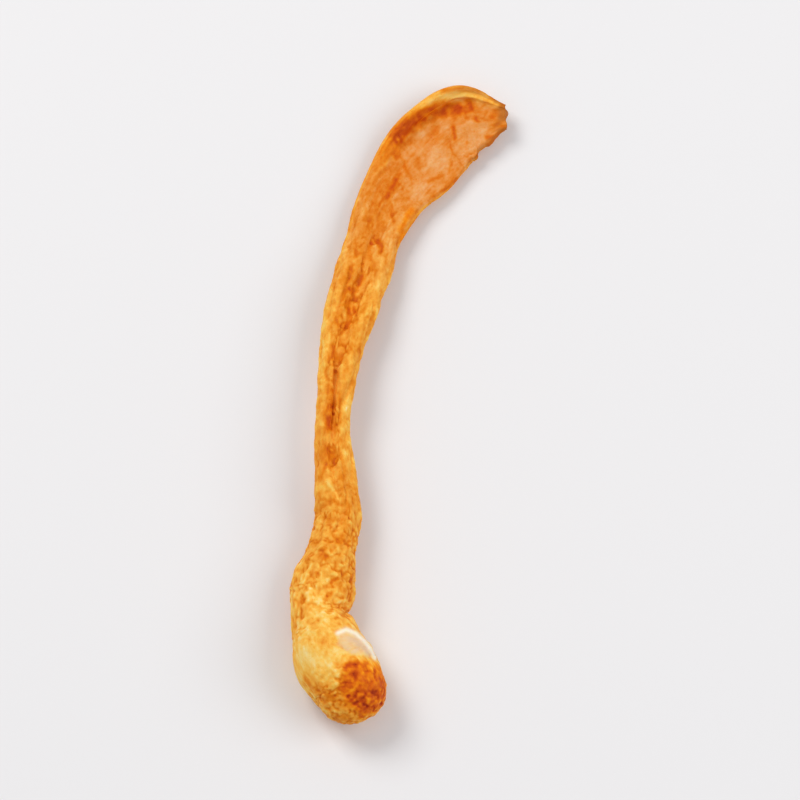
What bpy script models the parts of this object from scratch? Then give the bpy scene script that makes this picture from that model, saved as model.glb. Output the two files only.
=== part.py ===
"""A dried cordyceps fruiting body, lying on its side.

One piece that grew whole: a rounded club at the lower end, a flattened stem
with a groove along it, and a thin scooped fan whose far end is torn off.
The strand is a loft. Its sections stand upright across a spine that runs
from the tip of the club (-Y) to the torn end of the fan (+Y).
All lengths here are in millimetres. The mesh itself is written in metres.
"""

import math

import bmesh
import bpy
import numpy as np
from mathutils import Vector, noise

MM = 0.001

# Driving dimensions of the whole strand
ROUNDING_LENGTH = 5.6        # length over which the club closes to its tip
CLUB_LENGTH = 24.0           # from the tip to where the stem takes over
CENTRE_SHIFT = (-0.02, 0.54)  # brings the middle of the strand's box over the origin
FLOOR_CUT_DEPTH = 20.0       # thickness of the block that flattens the underside
FLOOR_CUT_WIDTH = 200.0
TIP_RINGS = 10               # sections in the rounding of the tip
CLUB_RINGS = 30              # sections in the rest of the club
STEM_RINGS = 60              # sections in the stem and the fan
AROUND = 48                  # points around a section
POLE_REACH = 0.35            # how far the tip's last point stands out, in ring gaps

# Shape of a section
CURL_POWER = 1.5             # how late the rims of the stem start to roll up
FAN_CURL_POWER = 2.3         # the same where the strand is thin
THIN_RATIOS = (0.15, 0.45)   # depth / width of what counts as thin, and of what no longer does
THIN_SHARE = 0.7             # below this depth / width a section turns boxy
BOXINESS = 3.5               # how boxy the thinnest section gets
RIM_CROWDING = 0.35          # how much the points crowd at the two rims
GROOVE_HALF_WIDTH = 0.24     # in shares of the half section
LIP_PLACE = -0.80            # where the rolled rim is thickest, same shares
LIP_HALF_WIDTH = 0.16
SECTION_STEPS = 161          # points along the upper and the lower line

# Relief on the skin
LUMP_SIZE = 5.0
LUMP_HEIGHT = 0.34
LUMP_ON_THIN = 0.4           # share of that height where the strand is thin
WRINKLE_WIDTH = 1.7
WRINKLE_LENGTH = 9.0
WRINKLE_DEPTH = 0.22
WRINKLE_SHARPNESS = 0.16     # half width of a wrinkle, in units of its noise
WRINKLE_SWELL = 0.6          # how much the skin swells between the wrinkles, in wrinkle depths
WRINKLE_ON_THIN = 0.25
PIMPLE_SIZE = 1.3
PIMPLE_HEIGHT = 0.24
PIMPLE_ON_THIN = 0.3
PIMPLE_ON_STEM = 0.35
PIMPLE_ON_COLLAR = 0.3
PIMPLE_ON_TIP = 0.3
TIP_REACH = 8.0              # how far the smoother tip goes along the spine
COLLAR_PLACE = 9.0           # middle of the smoother belt of the club, from the tip
COLLAR_HALF_LENGTH = 3.5
RIPPLE_WIDTH = 3.2
RIPPLE_LENGTH = 9.0
RIPPLE_HEIGHT = 0.35

# Torn end and frayed right rim of the fan
TORN_LENGTH = 5.5            # the part of the spine that the tear reaches back
TORN_DEPTH = 0.6             # how far the torn end wanders along the spine
TORN_SIZE = 1.5
FRAY_LENGTH = 9.5            # the part of the right rim that is frayed
FRAY_DEPTH = 0.5
FRAY_SIZE = 1.6
FRAY_FULL = 0.6              # the share of that length after which it is fully frayed
FRAY_FROM = 0.3              # the share across from which the fraying reaches to the rim
FRAY_LEVEL = 0.4             # raises the noise of the fraying, so that little stays whole

# The stations. Spine point x and y, the width seen from above, the depth,
# the gap under the lowest point, the roll of the left and right rim in
# degrees, the depth and place of the groove, and the swelling of the rim.
STATIONS = [
    (-4.10, -40.30, 9.75, 7.4, 0.50, 0, 0, 0.0, 0.00, 0.0),
    (-5.80, -36.30, 8.80, 8.2, -0.25, 0, 0, 0.0, 0.00, 0.0),
    (-7.75, -33.10, 9.45, 8.4, -0.30, 0, 0, 0.0, 0.00, 0.0),
    (-8.60, -29.60, 7.50, 7.6, 0.10, 0, 0, 0.0, 0.00, 0.0),
    (-9.35, -27.35, 6.45, 6.3, 0.40, 0, 0, 0.0, 0.00, 0.0),
    (-9.00, -24.15, 7.60, 6.6, -0.35, 0, 0, 0.0, 0.00, 0.0),
    (-7.95, -19.20, 5.80, 5.6, 0.50, 8, 8, 0.1, 0.10, 0.0),
    (-7.15, -15.00, 5.45, 4.6, 1.30, 16, 14, 0.3, 0.05, 0.0),
    (-7.35, -12.00, 5.10, 4.0, 2.10, 24, 20, 0.5, -0.10, 0.0),
    (-7.75, -6.70, 4.40, 3.4, 2.70, 30, 26, 0.6, -0.10, 0.0),
    (-7.65, -1.45, 3.90, 3.0, 2.90, 34, 30, 0.6, -0.05, 0.0),
    (-7.15, 4.20, 5.10, 2.8, 2.70, 38, 32, 0.6, 0.00, 0.0),
    (-5.90, 10.25, 6.05, 2.7, 2.10, 42, 34, 0.6, 0.05, 0.0),
    (-4.35, 15.45, 6.55, 2.5, 1.50, 46, 38, 0.5, 0.10, 0.0),
    (-2.85, 21.00, 6.60, 2.2, 0.90, 48, 42, 0.4, 0.15, 0.0),
    (-0.85, 25.80, 7.90, 1.8, 0.30, 58, 48, 0.2, 0.20, 0.1),
    (2.25, 30.15, 10.10, 1.4, -0.12, 88, 44, 0.1, 0.20, 0.3),
    (4.95, 33.40, 9.90, 1.2, 0.05, 112, 40, 0.0, 0.20, 0.8),
    (8.05, 35.20, 9.35, 1.15, 0.55, 106, 34, 0.0, 0.20, 0.8),
    (10.75, 35.50, 6.00, 1.1, 1.20, 80, 28, 0.0, 0.20, 0.5),
    (12.60, 35.60, 3.50, 1.0, 1.70, 56, 20, 0.0, 0.20, 0.3),
]

# Swellings and dents of the upper side: x, y, radius, height.
SWELLINGS = [
    (-11.3, -32.0, 1.9, 0.45),
    (-8.0, -31.3, 1.6, 0.20),
    (-5.3, -31.2, 1.6, 0.25),
    (-5.9, -27.6, 0.9, -0.50),
    (-8.7, -33.8, 1.0, -0.15),
    (-6.2, -33.2, 1.0, -0.20),
    (-4.4, -33.2, 1.0, -0.15),
    (-3.8, -36.6, 2.6, 0.20),
    (-7.9, -11.8, 0.8, 0.25),
]


def smooth_through(knots, values, places):
    """A smooth curve through the stations' values, read at the given places."""
    slopes = np.gradient(values, knots, axis=0)
    index = np.searchsorted(knots, places, side="right") - 1
    index = np.clip(index, 0, len(knots) - 2)
    span = (knots[index + 1] - knots[index])[:, None]
    t = (places - knots[index])[:, None] / span
    start = (2 * t**3 - 3 * t**2 + 1) * values[index]
    end = (3 * t**2 - 2 * t**3) * values[index + 1]
    leave = (t**3 - 2 * t**2 + t) * span * slopes[index]
    arrive = (t**3 - t**2) * span * slopes[index + 1]
    return start + end + leave + arrive


def ease(low, high, value):
    """Rises smoothly from 0 at low to 1 at high."""
    t = np.clip((value - low) / (high - low), 0.0, 1.0)
    return t * t * (3.0 - 2.0 * t)


def fade(full, thin, amount):
    """Goes from the value full to the value thin as the amount rises from 0 to 1."""
    return full + (thin - full) * amount


def thinness(width, depth):
    """0 where the strand is thick and 1 where it is a thin blade."""
    return 1.0 - float(ease(*THIN_RATIOS, depth / width))


def rounding(along):
    """Share of the full section that is left near the tip of the club."""
    t = np.clip(along / ROUNDING_LENGTH, 0.0, 1.0)
    return math.sqrt(1.0 - (1.0 - t) ** 2)


def section_sides(width, depth, curl_left, curl_right, groove, place, lip):
    """The upper and the lower line of a section, from the left to the right rim."""
    q = -np.cos(np.linspace(0.0, math.pi, SECTION_STEPS))
    late = np.abs(q) ** fade(CURL_POWER, FAN_CURL_POWER, thinness(width, depth))
    roll_left = -math.radians(curl_left) * late
    roll_right = math.radians(curl_right) * late
    turn = np.where(q < 0.0, roll_left, roll_right)
    boxy = 2.0 + BOXINESS * max(0.0, THIN_SHARE - depth / width)
    half = 0.5 * depth * (1.0 - np.abs(q) ** boxy) ** (1.0 / boxy)
    half += 0.5 * lip * np.exp(-(((q - LIP_PLACE) / LIP_HALF_WIDTH) ** 2)) * (1.0 - np.abs(q) ** 8)
    dent = groove * np.exp(-(((q - place) / GROOVE_HALF_WIDTH) ** 2))
    step = np.diff(q)
    run = np.concatenate(([0.0], np.cumsum(0.5 * (np.cos(turn[1:]) + np.cos(turn[:-1])) * step)))
    rise = np.concatenate(([0.0], np.cumsum(0.5 * (np.sin(turn[1:]) + np.sin(turn[:-1])) * step)))
    reach = 0.5 * width
    for _ in range(6):
        top = np.stack((run * reach - np.sin(turn) * (half - dent),
                        rise * reach + np.cos(turn) * (half - dent)), axis=1)
        bottom = np.stack((run * reach + np.sin(turn) * half,
                           rise * reach - np.cos(turn) * half), axis=1)
        across = np.concatenate((top[:, 0], bottom[:, 0]))
        reach *= width / (across.max() - across.min())
    middle = 0.5 * (across.max() + across.min())
    top[:, 0] -= middle
    bottom[:, 0] -= middle
    lowest = bottom[:, 1].min()
    top[:, 1] -= lowest
    bottom[:, 1] -= lowest
    return np.column_stack((top, q)), np.column_stack((bottom, q))


def spread_points(line, count):
    """The line again with count points, crowded towards its two ends."""
    lengths = np.linalg.norm(np.diff(line[:, :2], axis=0), axis=1)
    travelled = np.concatenate(([0.0], np.cumsum(lengths)))
    t = np.linspace(0.0, 1.0, count)
    t = t - RIM_CROWDING * np.sin(2.0 * math.pi * t) / (2.0 * math.pi)
    places = t * travelled[-1]
    return np.stack([np.interp(places, travelled, line[:, k]) for k in range(3)], axis=1)


def ring_places(length):
    """Distances of the sections along the spine, closer together at the tip."""
    angles = np.linspace(0.0, 0.5 * math.pi, TIP_RINGS + 1)[1:]
    tip = ROUNDING_LENGTH * (1.0 - np.cos(angles))
    club = np.linspace(ROUNDING_LENGTH, CLUB_LENGTH, CLUB_RINGS + 1)[1:]
    stem = np.linspace(CLUB_LENGTH, length, STEM_RINGS + 1)[1:]
    return np.concatenate((tip, club, stem))


def loft_strand():
    """Positions and straightened coordinates of all sections' points.

    The straightened coordinates are the place across, the height, the
    distance from the tip along the spine, and the share across from -1 at
    the left rim to 1 at the right rim.
    """
    table = np.array(STATIONS, dtype=float)
    table[:, :2] += CENTRE_SHIFT
    chords = np.linalg.norm(np.diff(table[:, :2], axis=0), axis=1)
    knots = np.concatenate(([0.0], np.cumsum(chords)))
    places = ring_places(knots[-1])
    rows = smooth_through(knots, table, places)
    ahead = smooth_through(knots, table[:, :2], np.minimum(places + 0.05, knots[-1]))
    behind = smooth_through(knots, table[:, :2], np.maximum(places - 0.05, 0.0))
    tangents = ahead - behind
    tangents /= np.linalg.norm(tangents, axis=1)[:, None]
    half_count = AROUND // 2
    points = np.zeros((len(places), AROUND, 3))
    straight = np.zeros((len(places), AROUND, 4))
    for i, row in enumerate(rows):
        x, y, width, depth, lift = row[:5]
        top, bottom = section_sides(width, depth, row[5], row[6], row[7], row[8], row[9])
        upper = spread_points(top, half_count + 1)
        lower = spread_points(bottom, half_count + 1)[::-1]
        ring = np.concatenate((upper[:-1], lower[:-1]))
        ring[:, 1] += lift
        centre = np.array((0.0, lift + 0.5 * depth))
        share = rounding(places[i])
        ring[:, :2] = centre + (ring[:, :2] - centre) * share
        right = np.array((tangents[i, 1], -tangents[i, 0]))
        points[i, :, 0] = x + ring[:, 0] * right[0]
        points[i, :, 1] = y + ring[:, 0] * right[1]
        points[i, :, 2] = ring[:, 1]
        straight[i, :, 0] = ring[:, 0]
        straight[i, :, 1] = ring[:, 1] - lift
        straight[i, :, 2] = places[i]
        straight[i, :, 3] = ring[:, 2]
    return points, straight, rows, tangents


def grid_normals(points):
    """Outward normals of the lofted grid."""
    around = np.roll(points, -1, axis=1) - np.roll(points, 1, axis=1)
    along = np.gradient(points, axis=0)
    normals = np.cross(around, along)
    lengths = np.linalg.norm(normals, axis=2)[:, :, None]
    return normals / np.maximum(lengths, 1e-9)


def noise_at(u, w, s, across, along, seed):
    """Smooth noise whose lumps are across wide and along long."""
    return noise.noise(Vector((u / across + seed, w / across, s / along)))


def skin_relief(u, w, s, width, depth):
    """Height of the skin over the smooth loft, from lumps, wrinkles and pimples."""
    thin = thinness(width, depth)
    club = 1.0 - float(ease(CLUB_LENGTH - 5.0, CLUB_LENGTH + 2.0, s))
    collar = math.exp(-(((s - COLLAR_PLACE) / COLLAR_HALF_LENGTH) ** 2))
    lump = noise_at(u, w, s, LUMP_SIZE, LUMP_SIZE, 3.1)
    height = LUMP_HEIGHT * lump * fade(1.0, LUMP_ON_THIN, thin)
    fold = noise_at(u, w, s, WRINKLE_WIDTH, WRINKLE_LENGTH, 11.7)
    crease = math.exp(-((fold / WRINKLE_SHARPNESS) ** 2))
    wrinkled = (1.0 - club) * fade(1.0, WRINKLE_ON_THIN, thin)
    height += WRINKLE_DEPTH * (WRINKLE_SWELL * fold - crease) * wrinkled
    pimple = noise_at(u, w, s, PIMPLE_SIZE, PIMPLE_SIZE, 23.9)
    pimpled = fade(PIMPLE_ON_STEM, 1.0, club) * fade(1.0, PIMPLE_ON_COLLAR, collar)
    pimpled *= fade(1.0, PIMPLE_ON_TIP, 1.0 - float(ease(0.0, TIP_REACH, s)))
    height += PIMPLE_HEIGHT * pimple * pimpled * fade(1.0, PIMPLE_ON_THIN, thin)
    return height


def fan_ripple(u, s, width, depth):
    """Rise and fall of the whole thin blade."""
    rise = RIPPLE_HEIGHT * noise_at(u, 0.0, s, RIPPLE_WIDTH, RIPPLE_LENGTH, 37.3)
    return rise * thinness(width, depth)


def swelling_height(x, y):
    """Local swellings and dents of the upper side."""
    height = 0.0
    for place_x, place_y, radius, rise in SWELLINGS:
        from_x = x - CENTRE_SHIFT[0] - place_x
        from_y = y - CENTRE_SHIFT[1] - place_y
        distance = math.hypot(from_x, from_y) / radius
        height += rise * math.exp(-distance * distance)
    return height


def tear(u, w, s, length):
    """How far the torn end wanders along the spine."""
    torn = float(ease(length - TORN_LENGTH, length, s))
    return TORN_DEPTH * torn * noise_at(u, w, 0.0, TORN_SIZE, 1.0, 51.0)


def fray(s, share, length):
    """How far the right rim is frayed inwards."""
    frayed = float(ease(length - FRAY_LENGTH, length - FRAY_FULL * FRAY_LENGTH, s))
    at_rim = float(ease(FRAY_FROM, 1.0, share))
    bite = FRAY_LEVEL + noise_at(0.0, 0.0, s, 1.0, FRAY_SIZE, 67.0)
    return FRAY_DEPTH * frayed * at_rim * max(0.0, bite)


def add_relief(points, straight, rows, tangents):
    """Moves the lofted points out or in by the relief."""
    normals = grid_normals(points)
    result = points.copy()
    length = straight[-1, 0, 2]
    for i in range(len(points)):
        width, depth = rows[i][2:4]
        ahead = np.array((tangents[i, 0], tangents[i, 1], 0.0))
        right = np.array((tangents[i, 1], -tangents[i, 0], 0.0))
        for j in range(AROUND):
            u, w, s, share = straight[i, j]
            height = skin_relief(u, w, s, width, depth)
            upward = max(0.0, normals[i, j, 2])
            height += swelling_height(points[i, j, 0], points[i, j, 1]) * upward
            result[i, j] += normals[i, j] * height
            result[i, j, 2] += fan_ripple(u, s, width, depth)
            result[i, j] += ahead * tear(u, w, s, length)
            result[i, j] -= right * fray(s, share, length)
    return result


def build_mesh(points):
    """A closed mesh from the rings: a pole at the tip, a seam of quads at the torn end."""
    mesh = bmesh.new()
    grid = [[mesh.verts.new(Vector(point) * MM) for point in ring] for ring in points]
    first = points[0].mean(axis=0)
    second = points[1].mean(axis=0)
    pole = mesh.verts.new(Vector(first + POLE_REACH * (first - second)) * MM)
    for j in range(AROUND):
        following = (j + 1) % AROUND
        mesh.faces.new((pole, grid[0][following], grid[0][j]))
        for i in range(len(grid) - 1):
            mesh.faces.new((grid[i][j], grid[i][following], grid[i + 1][following], grid[i + 1][j]))
    end = grid[-1]
    mesh.faces.new((end[0], end[1], end[-1]))
    for j in range(1, AROUND // 2 - 1):
        mesh.faces.new((end[j], end[j + 1], end[-j - 1], end[-j]))
    middle = AROUND // 2
    mesh.faces.new((end[middle - 1], end[middle], end[middle + 1]))
    bmesh.ops.triangulate(mesh, faces=mesh.faces[:])
    bmesh.ops.recalc_face_normals(mesh, faces=mesh.faces[:])
    return mesh


def dried_skin_material():
    """Dull orange skin of the dried fungus."""
    material = bpy.data.materials.new("dried_skin")
    material.use_nodes = True
    shader = material.node_tree.nodes["Principled BSDF"]
    shader.inputs["Base Color"].default_value = (0.80, 0.33, 0.07, 1.0)
    shader.inputs["Roughness"].default_value = 0.75
    shader.inputs["Metallic"].default_value = 0.0
    return material


def make_collection(name):
    """A new collection in the scene."""
    collection = bpy.data.collections.new(name)
    bpy.context.scene.collection.children.link(collection)
    return collection


def make_floor_cutter(collection):
    """The block whose top face flattens the spots that the strand rests on."""
    mesh = bmesh.new()
    bmesh.ops.create_cube(mesh, size=1.0)
    size = (FLOOR_CUT_WIDTH * MM, FLOOR_CUT_WIDTH * MM, FLOOR_CUT_DEPTH * MM)
    bmesh.ops.scale(mesh, vec=size, verts=mesh.verts)
    data = bpy.data.meshes.new("floor_cutter")
    mesh.to_mesh(data)
    mesh.free()
    cutter = bpy.data.objects.new("floor_cutter", data)
    cutter.location = (0.0, 0.0, -0.5 * FLOOR_CUT_DEPTH * MM)
    cutter.hide_render = True
    cutter.display_type = "WIRE"
    collection.objects.link(cutter)
    return cutter


def make_fruiting_body(collection, cutter):
    """The whole strand as one object."""
    points, straight, rows, tangents = loft_strand()
    mesh = build_mesh(add_relief(points, straight, rows, tangents))
    data = bpy.data.meshes.new("fruiting_body")
    mesh.to_mesh(data)
    mesh.free()
    data.shade_smooth()
    body = bpy.data.objects.new("fruiting_body", data)
    body.data.materials.append(dried_skin_material())
    collection.objects.link(body)
    flatten = body.modifiers.new("flat_underside", "BOOLEAN")
    flatten.operation = "DIFFERENCE"
    flatten.solver = "EXACT"
    flatten.object = cutter
    return body


def main():
    for thing in list(bpy.data.objects):
        bpy.data.objects.remove(thing, do_unlink=True)
    part = make_collection("dried_cordyceps")
    cutters = make_collection("cutters")
    cutter = make_floor_cutter(cutters)
    make_fruiting_body(part, cutter)


main()
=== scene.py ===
"""Looks of a single dried cordyceps fruiting body that lies on a pale floor.

The strand is built again as a finer mesh from the same stations as its solid:
a rounded club, a flattened stem with a groove along it and a scooped fan with
a torn end. Finer wrinkles, cells and fibres are raised on top of that.
Lengths are in millimetres unless a name says otherwise. A noise is given by
how wide and how long its lumps are, and by its seed.
"""

import math

import bpy
import numpy as np
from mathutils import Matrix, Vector, noise


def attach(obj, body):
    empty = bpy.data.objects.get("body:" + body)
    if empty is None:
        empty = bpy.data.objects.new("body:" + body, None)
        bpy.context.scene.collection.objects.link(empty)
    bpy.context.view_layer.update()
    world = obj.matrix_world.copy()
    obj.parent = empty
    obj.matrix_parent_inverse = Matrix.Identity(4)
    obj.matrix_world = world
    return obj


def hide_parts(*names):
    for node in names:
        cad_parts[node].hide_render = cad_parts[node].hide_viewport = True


MM = 0.001

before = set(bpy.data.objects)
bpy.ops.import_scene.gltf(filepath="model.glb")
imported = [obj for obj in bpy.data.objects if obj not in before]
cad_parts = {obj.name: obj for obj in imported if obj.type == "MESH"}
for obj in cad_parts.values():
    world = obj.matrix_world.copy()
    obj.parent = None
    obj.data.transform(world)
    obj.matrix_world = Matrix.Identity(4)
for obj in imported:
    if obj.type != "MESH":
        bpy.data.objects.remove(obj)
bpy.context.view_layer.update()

# Driving dimensions of the whole strand, the same as the solid's
ROUNDING_LENGTH = 5.6        # length over which the club closes to its tip
CLUB_LENGTH = 24.0           # from the tip to where the stem takes over
CENTRE_SHIFT = (-0.02, 0.54)  # brings the middle of the strand's box over the origin

# Rings and points of the finer mesh
TIP_RINGS = 60               # sections in the rounding of the tip
CLUB_RINGS = 165             # sections in the rest of the club
STEM_RINGS = 375             # sections in the stem and the fan
UPPER_POINTS = 96            # points along the upper line of a section
LOWER_POINTS = 64            # points along the lower line of a section
AROUND = UPPER_POINTS + LOWER_POINTS
TORN_ROWS = 7                # rows of points across the thickness of the torn end
TORN_BULGE = 0.3             # how far the torn end's face stands out where it is rough
POLE_REACH = 0.35            # how far the tip's last point stands out, in ring gaps

# Shape of a section
CURL_POWER = 1.5             # how late the rims of the stem start to roll up
FAN_CURL_POWER = 2.3         # the same where the strand is thin
THIN_RATIOS = (0.15, 0.45)   # depth / width of what counts as thin, and of what no longer does
THIN_SHARE = 0.7             # below this depth / width a section turns boxy
BOXINESS = 3.5               # how boxy the thinnest section gets
RIM_CROWDING = 0.35          # how much the points crowd at the two rims
GROOVE_HALF_WIDTH = 0.24     # in shares of the half section
LIP_PLACE = -0.80            # where the rolled rim is thickest, same shares
LIP_HALF_WIDTH = 0.16
SECTION_STEPS = 161          # points along the upper and the lower line

# Relief that the solid has as well
LUMP_SIZE = 5.0
LUMP_HEIGHT = 0.34
LUMP_ON_THIN = 0.4           # share of that height where the strand is thin
WRINKLE_WIDTH = 1.7
WRINKLE_LENGTH = 9.0
WRINKLE_DEPTH = 0.22
WRINKLE_SHARPNESS = 0.16     # half width of a wrinkle, in units of its noise
WRINKLE_SWELL = 0.6          # how much the skin swells between the wrinkles, in wrinkle depths
WRINKLE_ON_THIN = 0.25
PIMPLE_SIZE = 1.3
PIMPLE_HEIGHT = 0.24
PIMPLE_ON_THIN = 0.3
PIMPLE_ON_STEM = 0.35
PIMPLE_ON_COLLAR = 0.3
PIMPLE_ON_TIP = 0.3
TIP_REACH = 8.0              # how far the smoother tip goes along the spine
COLLAR_PLACE = 9.0           # middle of the smoother belt of the club, from the tip
COLLAR_HALF_LENGTH = 3.5
RIPPLE_WIDTH = 3.2
RIPPLE_LENGTH = 9.0
RIPPLE_HEIGHT = 0.35

# Torn end and frayed right rim of the fan
TORN_LENGTH = 5.5            # the part of the spine that the tear reaches back
TORN_DEPTH = 0.6             # how far the torn end wanders along the spine
TORN_SIZE = 1.5
FRAY_LENGTH = 9.5            # the part of the right rim that is frayed
FRAY_DEPTH = 0.5
FRAY_SIZE = 1.6
FRAY_FULL = 0.6              # the share of that length after which it is fully frayed
FRAY_FROM = 0.3              # the share across from which the fraying reaches to the rim
FRAY_LEVEL = 0.4             # raises the noise of the fraying, so that little stays whole

# The skin's cells: low domes with creases between them
CELL_SIZE = 0.80
CELL_LEVEL = 0.35            # distance from a cell's middle, squared, at which its dome ends
CREASE_EDGE = 0.30           # how near a cell's edge its crease begins, in cell sizes
CLUB_CELL_WARP = 0.60        # how crooked the cells are, in cell sizes
CLUB_DOME = 0.12             # height of a dome
CLUB_CREASE = 0.06           # depth of a crease
STEM_CELL_WARP = 0.75
STEM_CELL_SQUEEZE = 0.62     # width of a stem's cell in shares of its length
STEM_DOME = 0.15
STEM_CREASE = 0.11
COBBLES_END = 9.0            # length over which the club's cobbles fade out on the stem
COBBLES_OFF_BELT = 0.8       # the share of them that is missing on the smooth belt
BELT_EDGE = 0.09             # height of the fold where that belt ends
BLISTER_HEIGHT = 0.16

# Noises that raise the skin: the height, the width and the length of the lumps, and the seed.
CLUB_LUMPS = [(0.05, 1.3, 1.3, 67.0), (0.06, 0.40, 0.40, 69.0)]
STEM_LUMPS = [(0.09, 1.0, 4.5, 71.0), (0.09, 0.95, 1.5, 81.0), (0.05, 0.45, 0.70, 83.0)]
FAN_LUMPS = [(0.045, 0.45, 4.0, 97.0), (0.08, 1.0, 1.9, 99.0), (0.04, 0.50, 0.80, 105.0)]
# Noises that make the skin lighter and darker: the share of lightness, then as above.
MOTTLING = [(0.055, 1.9, 2.6, 161.0), (0.070, 0.85, 1.25, 163.0), (0.050, 0.42, 0.60, 165.0)]
CLUB_MOTTLING = [(0.050, 0.55, 0.55, 171.0)]
FAN_FIBRES = [(0.060, 0.32, 3.5, 167.0)]

# Painted shade in the relief's small and large hollows and painted highlight on its ridges: how much they
# change the lightness, and the averaging rounds that find them
CAVITY_ROUNDS = 6
CAVITY_SHARE = 0.045
CAVITY_DEPTH = 0.05
HOLLOW_ROUNDS = 40
HOLLOW_SHARE = 0.025
HOLLOW_DEPTH = 0.10
# painted shade along the creases between the skin's cells
CREASE_SHARE = 0.080
FACING = (0.0, 0.4)          # upward parts of the normals from which a mark fades in

# Spine point x and y, the width seen from above, the depth, the gap under
# the lowest point, the roll of the left and right rim in degrees, the depth
# and place of the groove, and the swelling of the rim.
STATIONS = [
    (-4.10, -40.30, 9.75, 7.4, 0.50, 0, 0, 0.0, 0.00, 0.0),
    (-5.80, -36.30, 8.80, 8.2, -0.25, 0, 0, 0.0, 0.00, 0.0),
    (-7.75, -33.10, 9.45, 8.4, -0.30, 0, 0, 0.0, 0.00, 0.0),
    (-8.60, -29.60, 7.50, 7.6, 0.10, 0, 0, 0.0, 0.00, 0.0),
    (-9.35, -27.35, 6.45, 6.3, 0.40, 0, 0, 0.0, 0.00, 0.0),
    (-9.00, -24.15, 7.60, 6.6, -0.35, 0, 0, 0.0, 0.00, 0.0),
    (-7.95, -19.20, 5.80, 5.6, 0.50, 8, 8, 0.1, 0.10, 0.0),
    (-7.15, -15.00, 5.45, 4.6, 1.30, 16, 14, 0.3, 0.05, 0.0),
    (-7.35, -12.00, 5.10, 4.0, 2.10, 24, 20, 0.5, -0.10, 0.0),
    (-7.75, -6.70, 4.40, 3.4, 2.70, 30, 26, 0.6, -0.10, 0.0),
    (-7.65, -1.45, 3.90, 3.0, 2.90, 34, 30, 0.6, -0.05, 0.0),
    (-7.15, 4.20, 5.10, 2.8, 2.70, 38, 32, 0.6, 0.00, 0.0),
    (-5.90, 10.25, 6.05, 2.7, 2.10, 42, 34, 0.6, 0.05, 0.0),
    (-4.35, 15.45, 6.55, 2.5, 1.50, 46, 38, 0.5, 0.10, 0.0),
    (-2.85, 21.00, 6.60, 2.2, 0.90, 48, 42, 0.4, 0.15, 0.0),
    (-0.85, 25.80, 7.90, 1.8, 0.30, 58, 48, 0.2, 0.20, 0.1),
    (2.25, 30.15, 10.10, 1.4, -0.12, 88, 44, 0.1, 0.20, 0.3),
    (4.95, 33.40, 9.90, 1.2, 0.05, 112, 40, 0.0, 0.20, 0.8),
    (8.05, 35.20, 9.35, 1.15, 0.55, 106, 34, 0.0, 0.20, 0.8),
    (10.75, 35.50, 6.00, 1.1, 1.20, 80, 28, 0.0, 0.20, 0.5),
    (12.60, 35.60, 3.50, 1.0, 1.70, 56, 20, 0.0, 0.20, 0.3),
]

# Swellings and dents of the upper side: x, y, radius, height.
SWELLINGS = [
    (-11.3, -32.0, 1.9, 0.45),
    (-8.0, -31.3, 1.6, 0.20),
    (-5.3, -31.2, 1.6, 0.25),
    (-5.9, -27.6, 0.9, -0.50),
    (-8.7, -33.8, 1.0, -0.15),
    (-6.2, -33.2, 1.0, -0.20),
    (-4.4, -33.2, 1.0, -0.15),
    (-3.8, -36.6, 2.6, 0.20),
    (-7.9, -11.8, 0.8, 0.25),
]
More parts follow.
